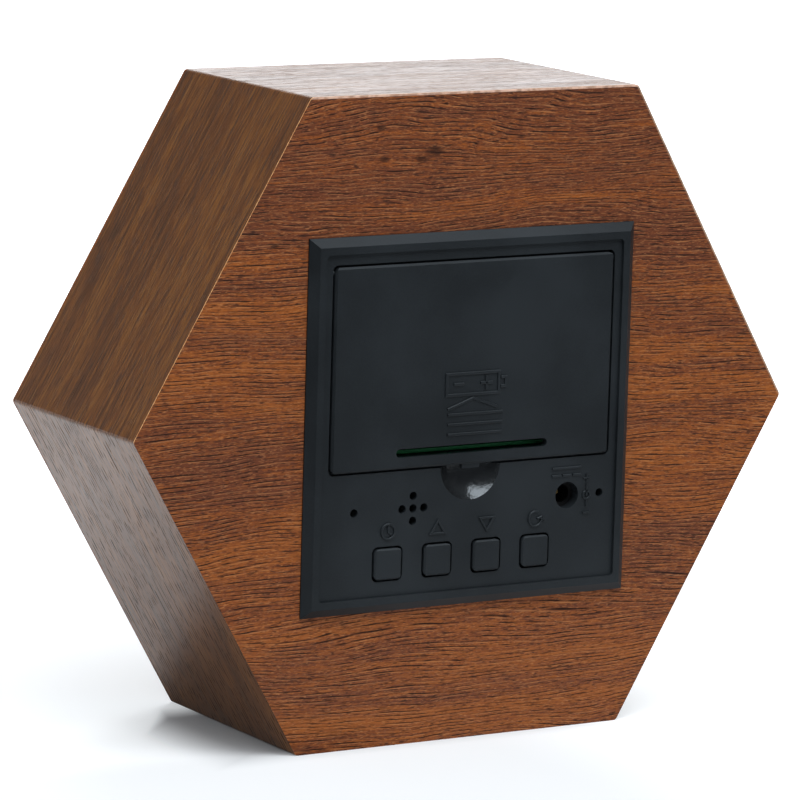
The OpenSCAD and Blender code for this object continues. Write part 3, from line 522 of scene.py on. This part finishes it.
FINISH = {
    "back_veneer": back_wood, "front_veneer": front_wood,
    "back_panel": raw_board, "front_panel": raw_board,
    "rear_housing": black, "battery_door": black,
    "set_button": black, "up_button": black, "down_button": black, "reset_button": black,
    "set_plunger": dark, "up_plunger": dark, "down_plunger": dark, "reset_plunger": dark,
    "switch_bodies": dark, "control_board": board, "control_board_screws": steel,
    "dc_jack": dark, "dc_jack_pin": brass, "buzzer": dark, "microphone": steel, "thermistor": dark,
    "battery_lower": cell_wrap("cell_wrap_lower", -1), "battery_middle": cell_wrap("cell_wrap_middle", 1),
    "battery_upper": cell_wrap("cell_wrap_upper", -1),
    "battery_springs": steel, "battery_contacts": steel,
    "positive_lead": red_wire, "negative_lead": black_wire,
    "display_diffuser": smoked, "segment_frame": milky, "segment_guides": milky, "segment_leds": milky,
    "display_board": board, "display_screws": steel, "clock_chip": dark, "quartz_crystal": steel,
    "filter_capacitor": blue_sleeve, "ribbon_headers": milky, "ribbon_cable": ribbon,
    **wall_wood,
}
SHARP_FROM = math.radians(24)

for name, obj in nodes.items():
    obj.data.materials.clear()
    obj.data.materials.append(FINISH[name])
    for face in obj.data.polygons:
        face.use_smooth = True
        face.material_index = 0
    obj.data.set_sharp_from_angle(angle=SHARP_FROM)

# The back veneer's cut edges show the pale core, apart from those that face down
veneer = nodes["back_veneer"].data
veneer.materials.append(film_edge)
veneer.materials.append(wall_wood["wall_bottom"])
for face in veneer.polygons:
    if abs(face.normal.y) < 0.5:
        face.material_index = 1 if face.normal.z > -0.1 else 2

# The thumb scoop, part of a sphere, is polished. The outer edge of the flange gets the darker plastic as
# painted shade where it meets the wood
SCOOP_MIDDLE = Vector((0, BACK_Y + 7.735 * MM, MID_Z - 9.4 * MM))
SCOOP_RADIUS = 9.435 * MM
SCOOP_TOLERANCE = 0.06 * MM
FLANGE_EDGE = 37.45 * MM


def in_scoop(corner):
    return abs((corner - SCOOP_MIDDLE).length - SCOOP_RADIUS) < SCOOP_TOLERANCE


def on_shaded_flange_edge(corner):
    return max(abs(corner.x), abs(corner.z - MID_Z)) > FLANGE_EDGE


housing = nodes["rear_housing"].data
housing.materials.append(black_smooth)
housing.materials.append(dark)
for face in housing.polygons:
    corners = [housing.vertices[v].co for v in face.vertices]
    if all(in_scoop(corner) for corner in corners):
        face.material_index = 1
    # Painted shade: the flange's outer edge in the darker plastic
    if all(on_shaded_flange_edge(corner) for corner in corners):
        face.material_index = 2


# Pieces

def mesh_object(name, bm, material):
    """A new object with one material. Its bmesh is used up."""
    mesh = bpy.data.meshes.new(name)
    bm.to_mesh(mesh)
    bm.free()
    mesh.materials.append(material)
    made = bpy.data.objects.new(name, mesh)
    scene.collection.objects.link(made)
    return made


def add_piece(name, bm, material, body):
    """A closed piece that rides on a CAD body, with the material given."""
    bmesh.ops.recalc_face_normals(bm, faces=bm.faces)
    piece = mesh_object(name, bm, material)
    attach(piece, body)


# Raised signs on the control unit

# How far the control face and the door stand out from the wood, in mm
FACE_O = 1.3
DOOR_O = 1.8

SIGN_SINK = 0.05
STROKE_TAIL = 0.3
MITRE_LIMIT = 0.35


def at_back(u, v, o):
    """A place on the back as seen from behind: u to the right, v up from the middle, o outward, in mm."""
    return Vector((-u * MM, BACK_Y + o * MM, MID_Z + v * MM))


def outline_of(points, width, closed):
    """The two sides of a stroke along points, mitred at its bends, in u and v."""
    places = [Vector(p) for p in points]
    count = len(places)
    left, right = [], []
    for i, place in enumerate(places):
        starts = not closed and i == 0
        ends = not closed and i == count - 1
        after = places[(i + 1) % count]
        come = (after - place if starts else place - places[i - 1]).normalized()
        leave = come if ends else (after - place).normalized()
        normal = Vector((-(come + leave).y, (come + leave).x)).normalized()
        reach = width / 2 / max(MITRE_LIMIT, normal.dot(Vector((-leave.y, leave.x))))
        tail = Vector((0, 0))
        if starts:
            tail = -come * width * STROKE_TAIL
        if ends:
            tail = leave * width * STROKE_TAIL
        left.append(place + normal * reach + tail)
        right.append(place - normal * reach + tail)
    return left, right


def raise_stroke(bm, points, width, low, high, closed):
    """A stroke with sloping sides and a rounded top, which stands up from low to high."""
    rings = []
    for o, wide in ((low, width), (high - 0.06, width * 0.86), (high, width * 0.55)):
        left, right = outline_of(points, wide, closed)
        rings.append(([bm.verts.new(at_back(p.x, p.y, o)) for p in left],
                      [bm.verts.new(at_back(p.x, p.y, o)) for p in right]))
    count = len(points)
    spans = range(count) if closed else range(count - 1)
    for (l0, r0), (l1, r1) in zip(rings, rings[1:]):
        for i in spans:
            j = (i + 1) % count
            bm.faces.new((l0[i], l0[j], l1[j], l1[i]))
            bm.faces.new((r0[j], r0[i], r1[i], r1[j]))
        if not closed:
            bm.faces.new((r0[0], l0[0], l1[0], r1[0]))
            bm.faces.new((l0[-1], r0[-1], r1[-1], l1[-1]))
    top_l, top_r = rings[-1]
    low_l, low_r = rings[0]
    for i in spans:
        j = (i + 1) % count
        bm.faces.new((top_l[i], top_l[j], top_r[j], top_r[i]))
        bm.faces.new((low_r[i], low_r[j], low_l[j], low_l[i]))


def arc(u, v, r, start, end, steps):
    angles = [math.radians(start + (end - start) * i / steps) for i in range(steps + 1)]
    return [(u + r * math.cos(a), v + r * math.sin(a)) for a in angles]


def sign(name, body, base, strokes, width, height):
    """A piece of raised strokes; each stroke is (points, closed)."""
    bm = bmesh.new()
    for points, closed in strokes:
        raise_stroke(bm, points, width, base - SIGN_SINK, base + height, closed)
    add_piece(name, bm, black, body)


# On the door: a cell with its two poles, and below it the arrow and three bars that say which way to pull
sign("sign_cell", "door", DOOR_O, [
    ([(-6.4, 5.1), (-6.4, 9.3), (5.7, 9.3), (5.7, 5.1)], True),
    ([(6.3, 6.3), (7.3, 6.3), (7.3, 8.1), (6.3, 8.1)], False),
    ([(-4.6, 7.2), (-2.6, 7.2)], False),
    ([(1.6, 7.2), (4.0, 7.2)], False),
    ([(2.8, 6.0), (2.8, 8.4)], False),
], width=0.64, height=0.30)
sign("sign_pull_arrow", "door", DOOR_O, [
    ([(-5.9, 2.3), (-0.1, 4.3), (5.3, 2.3)], False),
    ([(-5.8, 1.2), (6.6, 1.2)], False),
    ([(-5.8, -0.8), (6.6, -0.8)], False),
    ([(-5.8, -2.8), (6.6, -2.8)], False),
], width=0.58, height=0.26)

# By the socket: direct current, and the pin's polarity
sign("sign_direct_current", "case", FACE_O, [
    ([(19.4, -11.5), (26.0, -11.5)], False),
    ([(19.4, -13.0), (21.2, -13.0)], False),
    ([(21.9, -13.0), (23.6, -13.0)], False),
    ([(24.3, -13.0), (26.0, -13.0)], False),
], width=0.5, height=0.32)
sign("sign_polarity", "case", FACE_O, [
    ([(26.9, -13.9), (28.3, -13.9)], False),
    ([(27.6, -13.2), (27.6, -14.6)], False),
    ([(27.6, -15.2), (27.6, -16.3)], False),
    (arc(27.6, -17.3, 0.8, 60, -240, 14), False),
    ([(27.6, -17.5), (27.6, -17.0)], False),
    ([(27.6, -18.6), (27.6, -19.6)], False),
    ([(26.9, -21.0), (28.3, -21.0)], False),
], width=0.40, height=0.30)

# Above the buttons: a clock, an up and a down pointer, and a turning arrow
MARK = {"width": 0.46, "height": 0.34}
sign("mark_set", "case", FACE_O, [
    (arc(-18.6, -21.3, 1.5, 0, 345, 23), True),
    ([(-18.6, -20.4), (-18.6, -21.4), (-17.9, -21.85)], False),
], **MARK)
sign("mark_up", "case", FACE_O, [
    ([(-8.8, -22.5), (-7.2, -20.0), (-5.6, -22.5)], True),
], **MARK)
sign("mark_down", "case", FACE_O, [
    ([(2.6, -20.2), (5.8, -20.2), (4.2, -22.7)], True),
], **MARK)
sign("mark_reset", "case", FACE_O, [
    (arc(15.6, -21.3, 1.5, 70, 370, 18), False),
    ([(16.15, -21.3), (17.08, -21.0), (17.75, -21.75)], False),
], **MARK)


# Paper on the floor of the battery box

PAPER_THICK = 0.22
PAPER_COLUMNS = 12
BOX_FLOOR_V = -7.4

# Place outward, lift off the floor and half length of each row, from deep in the box to the folded edge
PAPER_ROWS = (
    (-10.9, 0.02, 20.8), (-10.5, 0.02, 21.7), (-9.6, 0.02, 22.0), (-7.4, 0.02, 22.0), (-5.5, 0.02, 22.0),
    (-4.95, 0.07, 22.0), (-4.70, 0.24, 22.0), (-4.62, 0.50, 22.0), (-4.60, 0.74, 21.7), (-4.60, 0.90, 20.8),
)


def rim_of(sheet):
    """The corners round a grid of rows, in order."""
    right = [row[-1] for row in sheet[1:]]
    left = [row[0] for row in sheet[-2:0:-1]]
    return sheet[0] + right + sheet[-1][-2::-1] + left


def paper_strip(name, rows):
    """A strip that lies on the box's floor."""
    bm = bmesh.new()
    low, top = [], []
    for k, (o, lift, half) in enumerate(rows):
        before = rows[max(k - 1, 0)]
        after = rows[min(k + 1, len(rows) - 1)]
        along = Vector((after[0] - before[0], after[1] - before[1])).normalized()
        places = [half * (2 * i / PAPER_COLUMNS - 1) for i in range(PAPER_COLUMNS + 1)]
        for sheet, off in ((low, 0.0), (top, PAPER_THICK)):
            v = BOX_FLOOR_V + lift + off * along.x
            sheet.append([bm.verts.new(at_back(u, v, o - off * along.y)) for u in places])
    for sheet in (low, top):
        for near, far in zip(sheet, sheet[1:]):
            for i in range(PAPER_COLUMNS):
                bm.faces.new((near[i], near[i + 1], far[i + 1], far[i]))
    low_rim, top_rim = rim_of(low), rim_of(top)
    for i in range(len(low_rim)):
        bm.faces.new((low_rim[i - 1], low_rim[i], top_rim[i], top_rim[i - 1]))
    add_piece(name, bm, insulating_paper("green_insulating_paper"), "case")


# It keeps the lowest cell off the board behind it, and its folded edge shows through the latch slot
paper_strip("cell_paper", PAPER_ROWS)


# Lit time on the front: 10:08, seen through the film

DIGIT_H, DIGIT_W, SEG_W, SEG_GAP = 26.0, 15.0, 3.2, 0.5
COLON_RADIUS, COLON_OFFSET, COLON_STEPS = 1.8, 5.2, 24
LIT_RISE = 0.05
LIT_SINK = 0.01
LIT_DRAFT = 0.995
DIGITS = (("first", -35.0, "1"), ("second", -13.5, "0"), ("third", 13.5, "0"), ("fourth", 35.0, "8"))

# Side, level and whether it stands upright
SEGMENTS = {
    "top": (0, 1, False), "middle": (0, 0, False), "bottom": (0, -1, False),
    "upper_left": (-1, 1, True), "upper_right": (1, 1, True),
    "lower_left": (-1, -1, True), "lower_right": (1, -1, True),
}
FIGURES = {
    "0": ("top", "bottom", "upper_left", "upper_right", "lower_left", "lower_right"),
    "1": ("upper_right", "lower_right"),
    "8": tuple(SEGMENTS),
}


def front_prism(bm, outline):
    """A low plate on the front film, drawn in slightly; outline is in x and z from the middle, in mm."""
    first_x = outline[0][0]
    back, face = [], []
    for x, z in outline:
        drawn_x = x * LIT_DRAFT * MM + (1 - LIT_DRAFT) * first_x * MM
        back.append(bm.verts.new(Vector((x * MM, FRONT_Y + LIT_SINK * MM, MID_Z + z * MM))))
        face.append(bm.verts.new(Vector((drawn_x, FRONT_Y - LIT_RISE * MM, MID_Z + z * MM))))
    bm.faces.new(face)
    bm.faces.new(back[::-1])
    for i in range(len(outline)):
        j = (i + 1) % len(outline)
        bm.faces.new((back[i], back[j], face[j], face[i]))


def lit_piece(name, outlines):
    bm = bmesh.new()
    for outline in outlines:
        front_prism(bm, outline)
    add_piece(name, bm, lit, "case")


def segment_outline(x, segment):
    """The six corners of one segment of a digit whose middle is at x."""
    side, level, upright = SEGMENTS[segment]
    half = SEG_W / 2
    if upright:
        cx, cz = x + side * (DIGIT_W - SEG_W) / 2, level * (DIGIT_H - SEG_W) / 4
        length = (DIGIT_H - SEG_W) / 2 - SEG_GAP
    else:
        cx, cz = x, level * (DIGIT_H - SEG_W) / 2
        length = DIGIT_W - SEG_W - SEG_GAP
    shape = [(-length / 2, 0), (half - length / 2, half), (length / 2 - half, half),
             (length / 2, 0), (length / 2 - half, -half), (half - length / 2, -half)]
    return [(cx - b, cz + a) if upright else (cx + a, cz + b) for a, b in shape]


def colon_dot(z):
    angles = [math.radians(360 / COLON_STEPS * i) for i in range(COLON_STEPS)]
    return [(COLON_RADIUS * math.cos(a), z + COLON_RADIUS * math.sin(a)) for a in angles]


for place, x, figure in DIGITS:
    lit_piece(f"lit_digit_{place}", [segment_outline(x, segment) for segment in FIGURES[figure]])
lit_piece("lit_colon", [colon_dot(-COLON_OFFSET), colon_dot(COLON_OFFSET)])


# Floor, light and camera

def by_ray(tree, plain, mirrored, seen):
    """One shader for the light on other things, one for reflections, and one for the eye."""
    path = add(tree, "ShaderNodeLightPath").outputs
    unseen = add(tree, "ShaderNodeMixShader", {
        0: path["Is Glossy Ray"], 1: plain.outputs[0], 2: mirrored.outputs[0],
    })
    through = most(tree, path["Is Camera Ray"], path["Is Transmission Ray"])
    return add(tree, "ShaderNodeMixShader", {0: through, 1: unseen.outputs[0], 2: seen.outputs[0]}).outputs[0]


def floor_seen(tree, place, x, y):
    """The floor as the eye sees it: a white glow that fades out beside the foot, where the overhang shades
    it, so that the shadow shows. The glow's edges and strength are painted shadow and painted light; far off
    it is evenly white.
    """
    off_middle = math_node(tree, "ABSOLUTE", minus(tree, y, 0.003))
    past_ends = ramp01(tree, off_middle, 0.015, 0.0275)
    past_side = ramp01(tree, x, 0.0430, 0.0595)
    # Painted shadow edge: the glow stops along a line from the front corner of the foot
    off_corner = add(tree, "ShaderNodeVectorMath", {0: place, 1: (0.81, -0.58, 0)}, operation="DOT_PRODUCT")
    past_corner = ramp01(tree, off_corner.outputs["Value"], 0.0438, 0.0480)
    past_far_side = ramp01(tree, x, 0.0, -0.045)
    clear = most(tree, most(tree, past_ends, past_side), most(tree, past_corner, past_far_side))
    # Painted light: the glow is stronger in front of the clock and past its far side, and a little more is
    # added just beside the overhang, into its shadow
    white = plus(tree, ramp01(tree, y, -0.03, 0.03, 0.50, 0.335), ramp01(tree, x, 0.0, -0.045, 0.0, 0.2))
    beside = times(tree, ramp01(tree, math_node(tree, "ABSOLUTE", y), 0.024, 0.008),
                   ramp01(tree, x, 0.050, 0.062, 0.0, 0.09))
    white = times(tree, plus(tree, white, beside), clear)
    distance = add(tree, "ShaderNodeVectorMath", {0: place}, operation="LENGTH").outputs["Value"]
    far = ramp01(tree, distance, 0.12, 0.42)
    pale = add(tree, "ShaderNodeBsdfDiffuse", {"Color": (0.605, 0.62, 0.635, 1)})
    glow = add(tree, "ShaderNodeEmission", {
        "Color": (0.945, 0.98, 1.0, 1), "Strength": most(tree, white, far),
    })
    return add(tree, "ShaderNodeAddShader", {0: pale.outputs[0], 1: glow.outputs[0]})


def floor_mirrored(tree, x, y):
    """The floor in reflections, with painted light and shade: brightest in front of the clock, painted dim in
    a lane beside it, past its left side as seen from behind, and on the camera's side.
    """
    bright = times(tree, ramp01(tree, y, 0.02, 0.20, 1.0, 0.25), ramp01(tree, y, -0.45, -0.20, 0.35, 1.0))
    # Painted shade in reflections: a dim lane beside the clock, and past its left side as seen from behind
    off_lane = ramp01(tree, math_node(tree, "ABSOLUTE", y), 0.027, 0.046, 0.15, 1.0)
    lane_ends = most(tree, ramp01(tree, x, 0.09, 0.13), ramp01(tree, x, 0.035, 0.0))
    bright = times(tree, bright, most(tree, off_lane, lane_ends))
    bright = times(tree, bright, ramp01(tree, y, -0.060, -0.105, 0.78, 1.06))
    left_behind = times(tree, ramp01(tree, x, 0.08, 0.20), ramp01(tree, y, 0.03, 0.09))
    bright = times(tree, bright, ramp01(tree, left_behind, 0.0, 1.0, 1.0, 0.0))
    colour = mix(tree, bright, (0, 0, 0, 1), (0.48, 0.485, 0.49, 1))
    mirror = add(tree, "ShaderNodeBsdfDiffuse", {"Color": colour})
    gleam = add(tree, "ShaderNodeEmission", {"Strength": times(tree, bright, 0.39)})
    return add(tree, "ShaderNodeAddShader", {0: mirror.outputs[0], 1: gleam.outputs[0]})


def floor_material():
    """Pale floor that stays white to the eye and keeps the shadow."""
    made = bpy.data.materials.new("pale_floor")
    made.use_nodes = True
    tree = made.node_tree
    tree.nodes.clear()
    out = add(tree, "ShaderNodeOutputMaterial")
    place = add(tree, "ShaderNodeTexCoord").outputs["Object"]
    axes = axes_of(tree, place)
    plain = add(tree, "ShaderNodeBsdfDiffuse", {"Color": (0.72, 0.73, 0.74, 1)})
    mirrored = floor_mirrored(tree, axes["X"], axes["Y"])
    seen = floor_seen(tree, place, axes["X"], axes["Y"])
    tree.links.new(by_ray(tree, plain, mirrored, seen), out.inputs["Surface"])
    return made


def studio_world():
    """Even pale light, white to the eye. Reflections are brightest low on the far side."""
    world = bpy.data.worlds.new("studio")
    world.use_nodes = True
    tree = world.node_tree
    tree.nodes.clear()
    out = add(tree, "ShaderNodeOutputWorld")
    way = axes_of(tree, add(tree, "ShaderNodeTexCoord").outputs["Generated"])
    far_side = times(tree, ramp01(tree, way["Z"], 0.08, 0.232, 1.0, 0.03), ramp01(tree, way["Y"], 0.2, -0.2))
    near_side = times(tree, ramp01(tree, way["Y"], -0.1, 0.3, 0.0, 0.12),
                      ramp01(tree, way["X"], 0.3, 0.7, 1.0, 0.2))
    level = plus(tree, far_side, near_side)
    plain = add(tree, "ShaderNodeBackground", {"Color": (0.93, 0.96, 1.0, 1), "Strength": 0.34})
    mirrored = add(tree, "ShaderNodeBackground", {"Color": (0.92, 0.947, 1.0, 1), "Strength": level})
    white = add(tree, "ShaderNodeBackground", {"Color": (1, 1, 1, 1), "Strength": 1.0})
    tree.links.new(by_ray(tree, plain, mirrored, white), out.inputs["Surface"])
    return world


def softbox(name, way, distance, size, power, colour=(1, 1, 1)):
    """A lamp with a width and a height that faces the middle of the clock, from the way given."""
    way = Vector(way).normalized()
    lamp = bpy.data.lights.new(name, "AREA")
    lamp.shape = "RECTANGLE"
    lamp.size, lamp.size_y = size
    lamp.energy = power
    lamp.color = colour
    obj = bpy.data.objects.new(name, lamp)
    place = Vector((0, 0, MID_Z)) + way * distance
    obj.matrix_world = Matrix.Translation(place) @ way.to_track_quat("Z", "Y").to_matrix().to_4x4()
    scene.collection.objects.link(obj)


# Fitted to the photograph: angles in degrees, lengths in metres, focal length in pixels
AZIMUTH, ELEVATION, ROLL = 148.7806, 9.7794, 1.6267
DISTANCE, ASIDE, LIFT = 1.0727156, -0.0004, -0.0006
FOCAL_PIXELS = 5312.6632
PICTURE_WIDTH = 800
SENSOR_WIDTH = 36


def camera():
    """Stands where the photograph was taken from."""
    azimuth, elevation, roll = math.radians(AZIMUTH), math.radians(ELEVATION), math.radians(ROLL)
    back = Vector((math.sin(azimuth) * math.cos(elevation), -math.cos(azimuth) * math.cos(elevation),
                   math.sin(elevation)))
    level = Vector((math.cos(azimuth), math.sin(azimuth), 0))
    upright = back.cross(level)
    right = math.cos(roll) * level + math.sin(roll) * upright
    up = -math.sin(roll) * level + math.cos(roll) * upright
    middle = Vector((0, (BACK_Y + FRONT_Y) / 2, MID_Z)) + right * ASIDE + up * LIFT
    data = bpy.data.cameras.new("camera")
    data.sensor_fit = "HORIZONTAL"
    data.sensor_width = SENSOR_WIDTH
    data.lens = FOCAL_PIXELS / PICTURE_WIDTH * SENSOR_WIDTH
    data.clip_end = 50
    obj = bpy.data.objects.new("camera", data)
    turn = Matrix((right, up, back)).transposed().to_4x4()
    obj.matrix_world = Matrix.Translation(middle + back * DISTANCE) @ turn
    scene.collection.objects.link(obj)
    scene.camera = obj


bm = bmesh.new()
bmesh.ops.create_grid(bm, x_segments=8, y_segments=8, size=4.0)
floor = mesh_object("floor", bm, floor_material())

scene.world = studio_world()
softbox("top_softbox", (0.10, 0.45, 0.88), 1.2, (1.4, 0.6), 16.0, (0.96, 0.98, 1.0))
softbox("far_softbox", (-0.50, -0.84, 0.20), 1.5, (1.0, 0.4), 1.3)
softbox("fill_softbox", (-0.30, -0.60, 0.74), 1.3, (0.7, 0.7), 7.0)
camera()
scene.view_settings.view_transform = "Standard"
